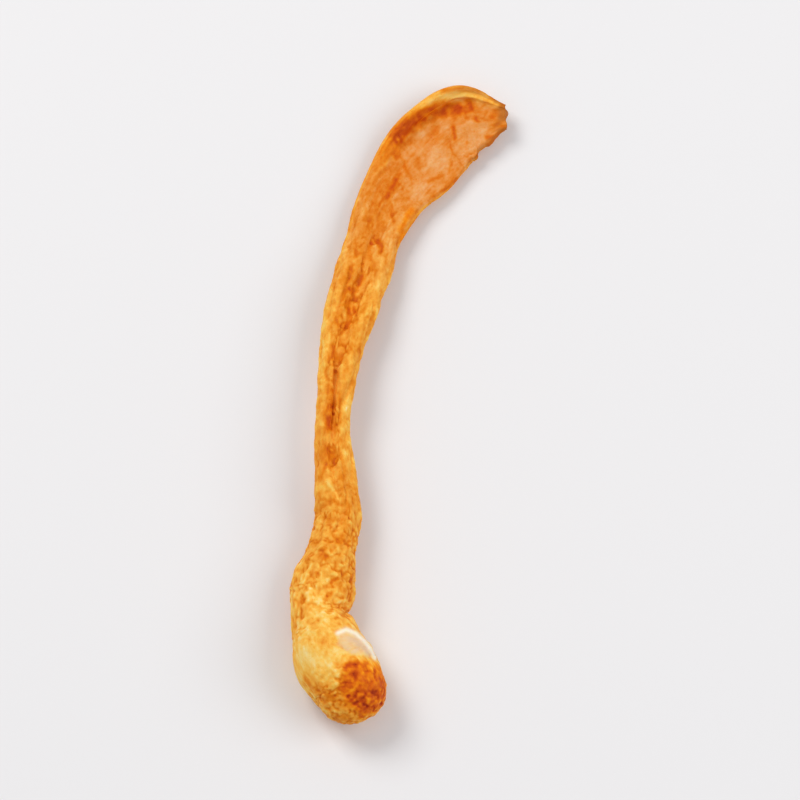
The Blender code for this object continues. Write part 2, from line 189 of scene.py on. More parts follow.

# Marks are placed as the camera sees them: millimetres to the right and up.
# Creases: the line, its half width, its depth, and how dark the painted shade along it is.
CREASES = [
    ([(6.2, 33.9), (6.4, 32.7), (6.6, 31.1)], 0.22, 0.06, 0.85),
    ([(6.0, 30.7), (6.2, 28.7), (6.0, 26.7)], 0.14, 0.03, 0.35),
    ([(8.2, 35.2), (8.8, 34.3), (9.2, 33.3)], 0.30, 0.08, 1.00),
    ([(7.6, 34.7), (8.0, 33.5)], 0.18, 0.05, 0.60),
    ([(9.8, 34.6), (10.6, 33.9), (11.4, 33.1)], 0.75, 0.03, 0.80),
    ([(0.6, 32.7), (1.6, 32.1)], 0.24, 0.05, 0.80),
    ([(0.0, 26.9), (-0.6, 25.7), (-1.6, 24.1), (-2.4, 22.9)], 0.28, 0.10, 0.95),
    ([(-0.6, 26.7), (0.0, 25.7)], 0.20, 0.06, 0.60),
    ([(3.4, 25.9), (4.0, 26.3), (5.0, 26.6)], 0.18, 0.04, 0.50),
    ([(5.0, 24.7), (5.8, 25.3), (6.6, 26.1)], 0.22, 0.03, 0.65),
    ([(4.0, 32.3), (4.6, 31.1)], 0.36, 0.02, 0.45),
    ([(7.6, 31.5), (8.0, 30.7)], 0.26, 0.02, 0.40),
    ([(12.2, 32.5), (11.4, 31.1), (10.4, 30.1), (9.4, 29.1)], 0.22, 0.03, 0.85),
    ([(10.4, 31.3), (11.2, 31.1)], 0.28, 0.03, 0.80),
    ([(5.2, 36.9), (6.0, 36.9), (7.0, 37.0)], 0.26, 0.00, 0.50),
    ([(-1.0, 29.7), (-0.2, 29.3)], 0.32, 0.02, 0.40),
    ([(0.0, 29.3), (0.8, 27.7), (1.2, 26.3)], 0.16, 0.03, 0.40),
    ([(10.8, 36.1), (11.2, 35.7)], 0.22, 0.02, 0.60),
    ([(-1.6, 23.7), (-1.0, 22.5), (-0.6, 21.3)], 0.20, 0.05, 0.45),
    ([(-3.4, 18.5), (-3.6, 17.5), (-3.8, 16.5)], 0.30, 0.10, 0.85),
    ([(-2.4, 18.7), (-2.2, 17.7)], 0.30, 0.08, 0.70),
    ([(-5.0, 17.3), (-5.6, 15.5)], 0.28, 0.08, 0.55),
    ([(-4.4, 14.5), (-5.0, 13.1)], 0.26, 0.10, 0.80),
    ([(-5.2, 12.7), (-6.2, 13.1)], 0.26, 0.08, 0.65),
    ([(-5.2, 12.5), (-5.4, 11.1), (-5.2, 9.7)], 0.28, 0.10, 0.80),
    ([(-6.2, 11.5), (-6.0, 10.1), (-6.2, 8.7)], 0.30, 0.10, 0.90),
    ([(-7.4, 9.7), (-7.2, 8.3)], 0.24, 0.06, 0.45),
    ([(-7.8, 6.1), (-8.0, 4.5)], 0.28, 0.08, 0.65),
    ([(-8.2, 1.7), (-8.0, 0.5), (-8.2, -1.1), (-8.4, -3.3)], 0.32, 0.10, 0.90),
    ([(-7.0, 0.7), (-7.2, -0.9)], 0.22, 0.06, 0.45),
    ([(-8.6, 3.7), (-8.4, 2.3)], 0.22, 0.05, 0.45),
    ([(-8.8, -7.5), (-9.0, -8.9)], 0.26, 0.06, 0.50),
    ([(-10.2, -20.5), (-9.6, -20.2)], 0.22, 0.06, 0.70),
    ([(-8.0, -21.1), (-7.2, -20.7)], 0.22, 0.06, 0.70),
    ([(-8.4, -22.9), (-7.8, -22.3)], 0.22, 0.05, 0.50),
    ([(-7.4, -16.5), (-6.8, -16.5)], 0.28, 0.06, 0.65),
    ([(-9.2, -18.1), (-8.6, -18.3)], 0.32, 0.06, 0.65),
    ([(-7.0, -30.5), (-6.4, -31.0), (-5.6, -30.3)], 0.24, 0.08, 0.80),
]
# Soft strokes: the line and its half width.
STROKES = {
    # painted highlight along the fan's rolled lip
    "lip": ([(1.2, 33.9), (2.4, 35.0), (3.6, 35.7), (5.0, 36.1), (6.2, 36.4), (7.6, 36.5),
             (9.0, 36.2), (10.6, 35.8), (12.0, 35.3)], 0.70),
    # painted shade in the recess under the fan's rolled lip
    "recess_shade": ([(-0.4, 31.0), (0.2, 31.9), (1.2, 32.8), (2.2, 33.5), (3.2, 34.0), (4.4, 34.4),
                (5.6, 34.6), (6.8, 34.6), (8.0, 34.9)], 0.80),
    "band": ([(-7.4, -28.9), (-6.2, -29.2), (-4.8, -29.4), (-3.8, -29.9), (-3.0, -30.7)], 0.40),
    # painted highlight along the blister's upper right rim
    "blister_rim_highlight": ([(-7.2, -27.0), (-6.2, -26.6), (-5.1, -27.1), (-4.1, -28.0), (-3.4, -28.9),
                     (-2.9, -29.9)], 0.24),
    # painted shade inside the blister, in a grey-lilac tint
    "lilac_shade": ([(-5.4, -27.8), (-4.6, -28.4), (-3.8, -29.1)], 0.50),
    # painted shade in the fold at the right edge of the fan's base
    "fold": ([(0.2, 19.1), (0.2, 20.5), (0.8, 21.5), (1.4, 22.5)], 0.40),
    # painted highlight along the crest of that fold
    "fold_highlight": ([(-0.3, 19.7), (-0.1, 20.9), (0.4, 22.1)], 0.28),
    "gleam": ([(-8.4, -9.3), (-7.8, -10.5), (-7.3, -11.5)], 0.28),
}
# Soft oval spots: the centre, the two half widths, and the turn in degrees.
BLISTER = ((-5.3, -28.1), (2.4, 1.2), -32)
# the tip's skin is darker, and this patch also carries painted shade where the tip turns away from the
# light
DARK_TIP = ((-3.9, -33.5), (2.7, 3.8), 18)
SPOTS = {
    "peach": [((4.4, 28.5), (1.8, 1.8), 30), ((9.0, 31.1), (2.0, 1.6), 40),
              ((2.4, 31.9), (0.9, 0.9), 0), ((2.2, 24.7), (1.0, 1.6), -20)],
    # painted highlights on the crest of the fan's lip and on a bump of the bulb
    "cream": [((6.4, 36.2), (1.7, 0.5), 0), ((3.4, 35.2), (1.2, 0.4), 35),
              ((-10.8, -30.0), (1.5, 1.4), 20)],
    "pale": [((-7.6, -29.9), (1.3, 0.8), 0), ((-8.8, -31.7), (1.0, 0.8), 0),
             ((-9.6, -25.6), (1.4, 0.8), 0)],
    "stain": [((-8.4, -6.4), (1.3, 0.9), 0), ((-7.2, -11.9), (1.0, 0.6), 0),
              ((12.2, 35.1), (0.4, 0.4), 0), ((-10.6, -32.7), (0.7, 0.6), 0)],
    # painted shade on a swelling of the bulb
    "hump_shade": [((-8.6, -27.9), (1.1, 0.7), -10)],
    # painted contact shade low on the bulb
    "low_contact_shade": [((-8.4, -34.1), (2.4, 1.3), -5), ((-4.6, -37.4), (2.6, 1.5), 10)],
    # painted glints on the club's cobbles
    "glint_speck": [((-10.0, -24.1), (0.35, 0.3), 0), ((-11.6, -26.1), (0.35, 0.3), 0),
                    ((-7.0, -23.5), (0.4, 0.3), 0), ((-9.4, -25.1), (0.35, 0.3), 0),
                    ((-11.2, -28.9), (0.35, 0.3), 0), ((-8.3, -20.9), (0.4, 0.3), 0)],
}
# How creases waver and break up: the shift to the right and up, and the noises of both.
CREASE_SHIFT = (0.35, 0.25)
CREASE_BEND = (1.1, 1.1, 141.0)
CREASE_BREAKS = (0.9, 1.3, 149.0)
CREASE_LEAST = 0.20          # strength of a crease where it is broken up most
STROKE_SPREAD = 0.06         # how much further a crease's painted shade reaches than its depth

# Tones of the skin, of the duller inside of the fan and of the most orange spots, from dark to pale
SKIN_TONES = [(126, 34, 0), (160, 55, 0), (198, 88, 2), (214, 112, 14), (226, 127, 27),
              (234, 141, 39), (241, 157, 54), (248, 176, 69), (251, 194, 88), (252, 208, 112),
              (253, 222, 147), (255, 242, 205)]
FAN_TONES = [(140, 45, 0), (172, 62, 0), (202, 86, 2), (214, 102, 12), (219, 117, 28), (226, 134, 49),
             (230, 147, 70), (233, 159, 89), (235, 170, 106), (242, 185, 130), (250, 215, 170)]
VIVID_TONES = [(155, 48, 0), (195, 76, 0), (208, 90, 2), (220, 104, 8), (231, 119, 16),
               (240, 134, 26), (248, 152, 34), (253, 171, 50), (254, 200, 100)]
# How light the skin is, from 0 for black to 1 for white: the mask, the lightness, and its share.
# Those of the first list lie under the mottling and the relief's painted shade and highlight, those of
# the second over it.
PLAIN_TONE = 0.665
UNDER_TONES = [
    ("club", 0.692, 1.0),
    ("pale_club", 0.785, 0.9),
    ("bulb", 0.760, 1.0),
    ("collar", 0.790, 0.9),
    ("right_band", 0.665, 0.7),
    # painted highlights along the stem's left and right rims
    ("left_edge_highlight", 0.775, 1.0),
    ("right_edge_highlight", 0.750, 1.0),
    # painted shade along the stem's groove
    ("groove", 0.605, 0.8),
    ("fan", 0.628, 1.0),
    # painted shade along the hollow of the fan's base
    ("hollow_line", 0.540, 0.8),
    ("left_rim", 0.585, 0.9),
    # painted shade on a swelling of the bulb
    ("hump_shade", 0.690, 0.8),
    # painted contact shade low on the bulb
    ("low_contact_shade", 0.620, 0.9),
    # darker skin of the tip together with painted shade where it turns away from the light
    ("tip", 0.495, 0.95),
]
OVER_TONES = [
    ("peach", 0.720, 0.75),
    # painted highlight along the fan's rolled lip
    ("lip", 0.790, 0.85),
    # painted shade in the recess under the fan's rolled lip
    ("recess_shade", 0.420, 0.95),
    # painted highlights on the lip's crest and on a bump of the bulb
    ("cream", 0.850, 0.80),
    ("pale", 0.810, 0.60),
    ("stain", 0.480, 0.55),
    # painted shade in the fold at the right edge of the fan's base
    ("fold", 0.585, 0.75),
    # painted highlight along the crest of that fold
    ("fold_highlight", 0.710, 0.70),
    ("band", 0.850, 0.75),
    # painted glints on the club's cobbles
    ("glint_speck", 0.880, 0.70),
    ("gleam", 0.840, 0.75),
    # painted shade along the single creases
    ("stroke", 0.420, 0.80),
]
# Tints that cover the tones: the mask, the tint, and its share.
TINTS = [
    ("blister", (240, 205, 158), 0.85),
    # painted shade inside the blister, in a grey-lilac tint
    ("lilac_shade", (224, 190, 160), 0.70),
    # painted highlight along the blister's upper right rim
    ("blister_rim_highlight", (255, 244, 222), 0.95),
    ("torn", (176, 100, 40), 0.75),
]

# Camera, light and floor
STUDIO_LIGHT = 1.05          # light on a level white sheet, where 1 is the white of the picture
GLOSS_SHARE = 0.010          # light that the skin's gloss adds
CAMERA_ELEVATION = 70.0
CAMERA_DISTANCE = 1045.75
CAMERA_LENS = 400.0
CAMERA_AIM = (*CENTRE_SHIFT, 2.0)
FLOOR_REACH = 4.0            # half the floor's side, in metres
FLOOR_GAP = 0.00002          # how far the floor lies below the strand's flat spots, in metres


def smooth_through(knots, values, places):
    """A smooth curve through the stations' values, read at the given places."""
    slopes = np.gradient(values, knots, axis=0)
    index = np.searchsorted(knots, places, side="right") - 1
    index = np.clip(index, 0, len(knots) - 2)
    span = (knots[index + 1] - knots[index])[:, None]
    t = (places - knots[index])[:, None] / span
    start = (2 * t**3 - 3 * t**2 + 1) * values[index]
    end = (3 * t**2 - 2 * t**3) * values[index + 1]
    leave = (t**3 - 2 * t**2 + t) * span * slopes[index]
    arrive = (t**3 - t**2) * span * slopes[index + 1]
    return start + end + leave + arrive


def ease(low, high, value):
    """Rises smoothly from 0 at low to 1 at high."""
    t = np.clip((value - low) / (high - low), 0.0, 1.0)
    return t * t * (3.0 - 2.0 * t)


def bell(value, centre, half_width):
    """1 at the centre, and falls off smoothly on both sides."""
    return np.exp(-(((value - centre) / half_width) ** 2))


def fade(full, thin, amount):
    """Goes from the value full to the value thin as the amount rises from 0 to 1."""
    return full + (thin - full) * amount


def thinness(width, depth):
    """0 where the strand is thick and 1 where it is a thin blade."""
    return 1.0 - ease(*THIN_RATIOS, depth / width)


def rounding(along):
    """Share of the full section that is left near the tip of the club."""
    t = np.clip(along / ROUNDING_LENGTH, 0.0, 1.0)
    return math.sqrt(1.0 - (1.0 - t) ** 2)


def section_sides(width, depth, curl_left, curl_right, groove, place, lip):
    """The upper and the lower line of a section, from the left to the right rim."""
    q = -np.cos(np.linspace(0.0, math.pi, SECTION_STEPS))
    late = np.abs(q) ** fade(CURL_POWER, FAN_CURL_POWER, thinness(width, depth))
    roll_left = -math.radians(curl_left) * late
    roll_right = math.radians(curl_right) * late
    turn = np.where(q < 0.0, roll_left, roll_right)
    boxy = 2.0 + BOXINESS * max(0.0, THIN_SHARE - depth / width)
    half = 0.5 * depth * (1.0 - np.abs(q) ** boxy) ** (1.0 / boxy)
    half += 0.5 * lip * bell(q, LIP_PLACE, LIP_HALF_WIDTH) * (1.0 - np.abs(q) ** 8)
    dent = groove * bell(q, place, GROOVE_HALF_WIDTH)
    step = np.diff(q)
    run = np.concatenate(([0.0], np.cumsum(0.5 * (np.cos(turn[1:]) + np.cos(turn[:-1])) * step)))
    rise = np.concatenate(([0.0], np.cumsum(0.5 * (np.sin(turn[1:]) + np.sin(turn[:-1])) * step)))
    reach = 0.5 * width
    for _ in range(6):
        top = np.stack((run * reach - np.sin(turn) * (half - dent),
                        rise * reach + np.cos(turn) * (half - dent)), axis=1)
        bottom = np.stack((run * reach + np.sin(turn) * half,
                           rise * reach - np.cos(turn) * half), axis=1)
        across = np.concatenate((top[:, 0], bottom[:, 0]))
        reach *= width / (across.max() - across.min())
    middle = 0.5 * (across.max() + across.min())
    top[:, 0] -= middle
    bottom[:, 0] -= middle
    lowest = bottom[:, 1].min()
    top[:, 1] -= lowest
    bottom[:, 1] -= lowest
    return np.column_stack((top, q)), np.column_stack((bottom, q))


def spread_points(line, count):
    """The line again with count points, crowded towards its two ends."""
    lengths = np.linalg.norm(np.diff(line[:, :2], axis=0), axis=1)
    travelled = np.concatenate(([0.0], np.cumsum(lengths)))
    t = np.linspace(0.0, 1.0, count)
    t = t - RIM_CROWDING * np.sin(2.0 * math.pi * t) / (2.0 * math.pi)
    places = t * travelled[-1]
    return np.stack([np.interp(places, travelled, line[:, k]) for k in range(line.shape[1])], axis=1)


def ring_places(length):
    """Distances of the sections along the spine, closer together at the tip."""
    angles = np.linspace(0.0, 0.5 * math.pi, TIP_RINGS + 1)[1:]
    tip = ROUNDING_LENGTH * (1.0 - np.cos(angles))
    club = np.linspace(ROUNDING_LENGTH, CLUB_LENGTH, CLUB_RINGS + 1)[1:]
    stem = np.linspace(CLUB_LENGTH, length, STEM_RINGS + 1)[1:]
    return np.concatenate((tip, club, stem))


class Strand:
    """The lofted grid of points, with what the relief and the colours need to know."""

    def __init__(self):
        table = np.array(STATIONS, dtype=float)
        table[:, :2] += CENTRE_SHIFT
        chords = np.linalg.norm(np.diff(table[:, :2], axis=0), axis=1)
        knots = np.concatenate(([0.0], np.cumsum(chords)))
        self.length = knots[-1]
        self.places = ring_places(self.length)
        rows = smooth_through(knots, table, self.places)
        ahead = smooth_through(knots, table[:, :2], np.minimum(self.places + 0.05, self.length))
        behind = smooth_through(knots, table[:, :2], np.maximum(self.places - 0.05, 0.0))
        tangents = ahead - behind
        tangents /= np.linalg.norm(tangents, axis=1)[:, None]
        self.tangents = np.column_stack((tangents, np.zeros(len(tangents))))
        self.rightwards = np.column_stack((tangents[:, 1], -tangents[:, 0], np.zeros(len(tangents))))
        shape = (len(self.places), AROUND)
        self.points = np.zeros(shape + (3,))
        self.straight = np.zeros(shape + (3,))
        self.across = np.zeros(shape)
        for i, row in enumerate(rows):
            self.add_ring(i, row)
        self.thin = thinness(rows[:, 2], rows[:, 3])[:, None] * np.ones(shape)
        self.crease = np.zeros(shape)
        self.on_top = np.zeros(shape)
        self.on_top[:, : UPPER_POINTS + 1] = 1.0
        self.groove_place = rows[:, 8][:, None]
        self.groove_depth = rows[:, 7][:, None]
        self.half_width = 0.5 * rows[:, 2][:, None]

    def add_ring(self, i, row):
        x, y, width, depth, lift = row[:5]
        top, bottom = section_sides(width, depth, row[5], row[6], row[7], row[8], row[9])
        upper = spread_points(top, UPPER_POINTS + 1)
        lower = spread_points(bottom, LOWER_POINTS + 1)[::-1]
        ring = np.concatenate((upper[:-1], lower[:-1]))
        ring[:, 1] += lift
        centre = np.array((0.0, lift + 0.5 * depth, 0.0))
        share = rounding(self.places[i])
        ring[:, :2] = centre[:2] + (ring[:, :2] - centre[:2]) * share
        right = self.rightwards[i]
        self.points[i, :, 0] = x + ring[:, 0] * right[0]
        self.points[i, :, 1] = y + ring[:, 0] * right[1]
        self.points[i, :, 2] = ring[:, 1]
        self.straight[i, :, 0] = ring[:, 0]
        self.straight[i, :, 1] = ring[:, 1] - lift
        self.straight[i, :, 2] = self.places[i]
        self.across[i] = ring[:, 2]


def grid_normals(points):
    """Outward normals of the lofted grid."""
    around = np.roll(points, -1, axis=1) - np.roll(points, 1, axis=1)
    along = np.gradient(points, axis=0)
    normals = np.cross(around, along)
    lengths = np.linalg.norm(normals, axis=2)[:, :, None]
    return normals / np.maximum(lengths, 1e-9)


def noise_field(straight, across, along, seed):
    """Smooth noise over all points, its lumps across wide and along long."""
    scaled = straight / (across, across, along) + (seed, 0.0, 0.0)
    values = [noise.noise(place) for place in scaled.reshape(-1, 3).tolist()]
    return np.array(values).reshape(straight.shape[:2])


def noise_sum(straight, noises):
    """Several noises on top of each other, each with its own strength."""
    return sum(strength * noise_field(straight, *noise_given) for strength, *noise_given in noises)


def cell_fields(straight, warp, seed):
    """Distance to the nearest cell's middle and to its edge, in cell sizes, on warped cells."""
    shape = straight.shape[:2]
    coarse = 1.3 * CELL_SIZE
    bend = [noise_field(straight, coarse, coarse, seed + 7.0 * k) for k in range(3)]
    scaled = straight / CELL_SIZE + warp * np.stack(bend, axis=2) + (seed, 0.0, 0.0)
    found = [noise.voronoi(place)[0] for place in scaled.reshape(-1, 3).tolist()]
    nearest = np.array([distances[0] for distances in found]).reshape(shape)
    second = np.array([distances[1] for distances in found]).reshape(shape)
    return nearest, second - nearest


def blur(values, rounds):
    """Averages each point with its neighbours on the grid, several times."""
    for _ in range(rounds):
        values = (np.roll(values, 1, axis=1) + np.roll(values, -1, axis=1) + values) / 3.0
        padded = np.concatenate((values[:1], values, values[-1:]))
        values = (padded[:-2] + padded[1:-1] + padded[2:]) / 3.0
    return values


def coarse_relief(strand):
    """Lumps, wrinkles and pimples, as the solid has them."""
    straight = strand.straight
    s = straight[:, :, 2]
    club = 1.0 - ease(CLUB_LENGTH - 5.0, CLUB_LENGTH + 2.0, s)
    collar = bell(s, COLLAR_PLACE, COLLAR_HALF_LENGTH)
    lump = noise_field(straight, LUMP_SIZE, LUMP_SIZE, 3.1)
    height = LUMP_HEIGHT * lump * fade(1.0, LUMP_ON_THIN, strand.thin)
    fold = noise_field(straight, WRINKLE_WIDTH, WRINKLE_LENGTH, 11.7)
    wrinkled = (1.0 - club) * fade(1.0, WRINKLE_ON_THIN, strand.thin)
    height += WRINKLE_DEPTH * (WRINKLE_SWELL * fold - bell(fold, 0.0, WRINKLE_SHARPNESS)) * wrinkled
    pimple = noise_field(straight, PIMPLE_SIZE, PIMPLE_SIZE, 23.9)
    pimpled = fade(PIMPLE_ON_STEM, 1.0, club) * fade(1.0, PIMPLE_ON_COLLAR, collar)
    pimpled = pimpled * fade(1.0, PIMPLE_ON_TIP, 1.0 - ease(0.0, TIP_REACH, s))
    height += PIMPLE_HEIGHT * pimple * pimpled * fade(1.0, PIMPLE_ON_THIN, strand.thin)
    return height


def swelling_height(points):
    """Local swellings and dents of the upper side."""
    height = np.zeros(points.shape[:2])
    for place_x, place_y, radius, rise in SWELLINGS:
        from_x = points[:, :, 0] - CENTRE_SHIFT[0] - place_x
        from_y = points[:, :, 1] - CENTRE_SHIFT[1] - place_y
        height += rise * np.exp(-(from_x**2 + from_y**2) / radius**2)
    return height


def bumpy_zone(strand):
    """Where the skin is cobbled: the club and the lower stem, less so on its collar."""
    s = strand.straight[:, :, 2]
    belt = bell(s, COLLAR_PLACE - 0.3, 2.4)
    return (1.0 - ease(CLUB_LENGTH, CLUB_LENGTH + COBBLES_END, s)) * (1.0 - COBBLES_OFF_BELT * belt)


def club_relief(strand):
    """Soft cobbles with short creases between them."""
    straight = strand.straight
    middle, edge = cell_fields(straight, CLUB_CELL_WARP, 5.0)
    patchy = ease(-0.10, 0.30, noise_field(straight, 0.85, 0.85, 61.0))
    crease = patchy * bell(edge, 0.0, CREASE_EDGE)
    zone = bumpy_zone(strand)
    strand.crease += crease * zone
    height = CLUB_DOME * (CELL_LEVEL - middle**2) - CLUB_CREASE * crease
    height += noise_sum(straight, CLUB_LUMPS)
    wavy = straight[:, :, 2] + 0.9 * noise_field(straight, 2.0, 2.0, 70.0)
    return height * zone + BELT_EDGE * bell(wavy, 11.9, 0.7) * strand.on_top


def stem_relief(strand):
    """Long soft cobbles with creases between them, coarser along the groove."""
    straight = strand.straight
    stem = (1.0 - bumpy_zone(strand)) * ease(CLUB_LENGTH - 3.0, CLUB_LENGTH + 6.0, straight[:, :, 2])
    calm = 1.0 - 0.55 * bell(strand.across, -0.85, 0.22) - 0.45 * bell(strand.across, 0.75, 0.25)
    middle, edge = cell_fields(straight * (1.0, 1.0, STEM_CELL_SQUEEZE), STEM_CELL_WARP, 91.0)
    cobbled = ease(-0.35, 0.30, noise_field(straight, 1.8, 3.0, 75.0))
    height = STEM_DOME * calm * (CELL_LEVEL - middle**2) * fade(0.30, 1.0, cobbled)
    patchy = ease(-0.10, 0.30, noise_field(straight, 0.75, 1.20, 113.0))
    crease = patchy * bell(edge, 0.0, CREASE_EDGE) * calm
    crease = crease * np.maximum(0.5 * cobbled, groove_zone(strand))
    full_stem = stem * fade(1.0, 0.35, strand.thin)
    strand.crease += crease * full_stem
    return (height - STEM_CREASE * crease + noise_sum(straight, STEM_LUMPS)) * full_stem


def fan_relief(strand):
    """Low fibres along the fan, and folds that the rolled rim pulls across it."""
    straight = strand.straight
    left = strand.length - straight[:, :, 2]
    height = noise_sum(straight, FAN_LUMPS)
    near_rim = bell(strand.across, -0.50, 0.28) * ease(16.0, 10.0, left)
    height += 0.10 * near_rim * noise_field(straight[:, :, (2, 1, 0)], 0.60, 2.5, 101.0)
    return height * strand.thin * strand.on_top


def crease_relief(strand):
    """The single creases of the upper side."""
    depths = [depth for _, _, depth, _ in CREASES]
    return -facing_up(strand) * crease_marks(strand, 0.0, depths)


def grain_relief(strand):
    """The finest grain that the mesh can carry."""
    grain = noise_field(strand.straight, 0.30, 0.38, 103.0)
    smooth = bell(strand.straight[:, :, 2], COLLAR_PLACE, 2.6)
    return (0.030 - 0.012 * strand.thin - 0.012 * smooth) * grain


def groove_zone(strand):
    """Where the groove runs along the upper side of the stem."""
    share = strand.straight[:, :, 0] / strand.half_width
    inside = bell(share, strand.groove_place, 0.36)
    return inside * strand.on_top * ease(0.05, 0.40, strand.groove_depth)


def blister_relief(strand):
    """The thin loose skin on the bulb's shoulder, raised as a low plateau."""
    right, up = seen_plane(strand)
    return facing_up(strand) * BLISTER_HEIGHT * ease(0.25, 0.55, spot(right, up, *BLISTER))


def tear_and_fray(strand):
    """How far the torn end wanders along the spine, and the right rim is frayed inwards."""
    s = strand.straight[:, :, 2]
    torn = ease(strand.length - TORN_LENGTH, strand.length, s)
    flat = strand.straight.copy()
    flat[:, :, 2] = 0.0
    wander = TORN_DEPTH * torn * noise_field(flat, TORN_SIZE, 1.0, 51.0)
    frayed = ease(strand.length - FRAY_LENGTH, strand.length - FRAY_FULL * FRAY_LENGTH, s)
    along = strand.straight * (0.0, 0.0, 1.0)
    bite = FRAY_LEVEL + noise_field(along, 1.0, FRAY_SIZE, 67.0)
    bite += 0.25 * noise_field(along, 1.0, 0.45, 73.0)
    inwards = FRAY_DEPTH * frayed * ease(FRAY_FROM, 1.0, strand.across) * np.maximum(0.0, bite)
    return wander, inwards


def raise_relief(strand):
    """Moves the points by all relief, and keeps how far each is below its surroundings."""
    normals = grid_normals(strand.points)
    height = coarse_relief(strand)
    height += swelling_height(strand.points) * np.maximum(0.0, normals[:, :, 2])
    ripple = strand.straight * (1.0, 0.0, 1.0)
    rise = RIPPLE_HEIGHT * strand.thin * noise_field(ripple, RIPPLE_WIDTH, RIPPLE_LENGTH, 37.3)
    wander, inwards = tear_and_fray(strand)
    strand.points += normals * height[:, :, None]
    strand.points[:, :, 2] += rise
    strand.points += strand.tangents[:, None, :] * wander[:, :, None]
    strand.points -= strand.rightwards[:, None, :] * inwards[:, :, None]
    fine = club_relief(strand) + stem_relief(strand) + fan_relief(strand)
    fine += grain_relief(strand) + blister_relief(strand) + crease_relief(strand)
    normals = grid_normals(strand.points)
    strand.points += normals * fine[:, :, None]
    strand.points[:, :, 2] = np.maximum(strand.points[:, :, 2], 0.0)
    total = height + fine
    strand.cavity = fine - blur(fine, CAVITY_ROUNDS)
    strand.hollow = total - blur(total, HOLLOW_ROUNDS)


def seen(red, green, blue):
    """The skin's own colour that looks like these 0 to 255 steps in the studio's light."""
    values = [channel / 255.0 for channel in (red, green, blue)]
    linear = [v / 12.92 if v <= 0.04045 else ((v + 0.055) / 1.055) ** 2.4 for v in values]
    return (*[max(0.0, (v - GLOSS_SHARE) / STUDIO_LIGHT) for v in linear], 1.0)


def lightness(tone):
    """How light a tone in 0 to 255 steps looks, from 0 for black to 1 for white."""
    red, green, blue = tone
    return (0.30 * red + 0.59 * green + 0.11 * blue) / 255.0


def seen_plane(strand):
    """Places as the camera sees them: millimetres to the right and up in the picture."""
    tilt = math.radians(CAMERA_ELEVATION)
    right = strand.points[:, :, 0] - CENTRE_SHIFT[0]
    up = (strand.points[:, :, 1] - CENTRE_SHIFT[1]) * math.sin(tilt)
    up = up + (strand.points[:, :, 2] - CAMERA_AIM[2]) * math.cos(tilt)
    return right, up


def facing_up(strand):
    """1 where the skin faces up, and 0 where it is upright or faces down."""
    return ease(*FACING, grid_normals(strand.points)[:, :, 2])


def spot(right, up, centre, radii, turn):
    """A soft oval spot on the skin, 1 in its middle."""
    c = math.cos(math.radians(turn))
    s = math.sin(math.radians(turn))
    x = right - centre[0]
    y = up - centre[1]
    along = (c * x + s * y) / radii[0]
    side = (-s * x + c * y) / radii[1]
    return np.exp(-((along**2 + side**2) ** 1.5))


def line_mark(right, up, line, half_width):
    """A soft stroke along a line of places, thinner towards its two ends."""
    nearest = np.full(right.shape, 1e9)
    for (x0, y0), (x1, y1) in zip(line[:-1], line[1:]):
        run_x, run_y = x1 - x0, y1 - y0
        t = ((right - x0) * run_x + (up - y0) * run_y) / (run_x**2 + run_y**2)
        t = np.clip(t, 0.0, 1.0)
        nearest = np.minimum(nearest, np.hypot(right - x0 - t * run_x, up - y0 - t * run_y))
    return bell(nearest, 0.0, half_width)


def crease_marks(strand, spread, strengths):
    """All single creases, which waver and break up as creases in dry skin do."""
    right, up = seen_plane(strand)
    bend = noise_field(strand.straight, *CREASE_BEND)
    right = right + CREASE_SHIFT[0] * bend
    up = up + CREASE_SHIFT[1] * bend
    whole = fade(CREASE_LEAST, 1.0, ease(-0.45, 0.25, noise_field(strand.straight, *CREASE_BREAKS)))
    marks = [strength * line_mark(right, up, line, width + spread)
             for (line, width, _, _), strength in zip(CREASES, strengths)]
    return whole * np.maximum.reduce(marks)


def club_masks(strand, wobble, fine_wobble):
    """Where the parts of the club lie: its bulb, its belt and the dark tip."""
    s = strand.straight[:, :, 2]
    right, up = seen_plane(strand)
    masks = {}
    masks["club"] = 1.0 - ease(CLUB_LENGTH - 4.0, CLUB_LENGTH + 12.0, s + 3.0 * wobble)
    low_club = bell(s, 14.5, 4.0) * ease(-0.75, 0.0, -strand.across) * strand.on_top
    masks["pale_club"] = low_club * (0.8 + 0.8 * fine_wobble)
    masks["bulb"] = ease(9.0, 7.0, s) * ease(2.0, 5.0, s) * strand.on_top
    masks["collar"] = ease(0.15, 0.8, bell(s, COLLAR_PLACE - 0.2, 3.4) + 0.2 * wobble)
    # darker skin of the tip together with painted shade where it turns away from the light
    tip = spot(right, up, *DARK_TIP) + 0.25 * fine_wobble + 0.10 * wobble
    masks["tip"] = facing_up(strand) * ease(0.22, 0.58, tip)
    return masks


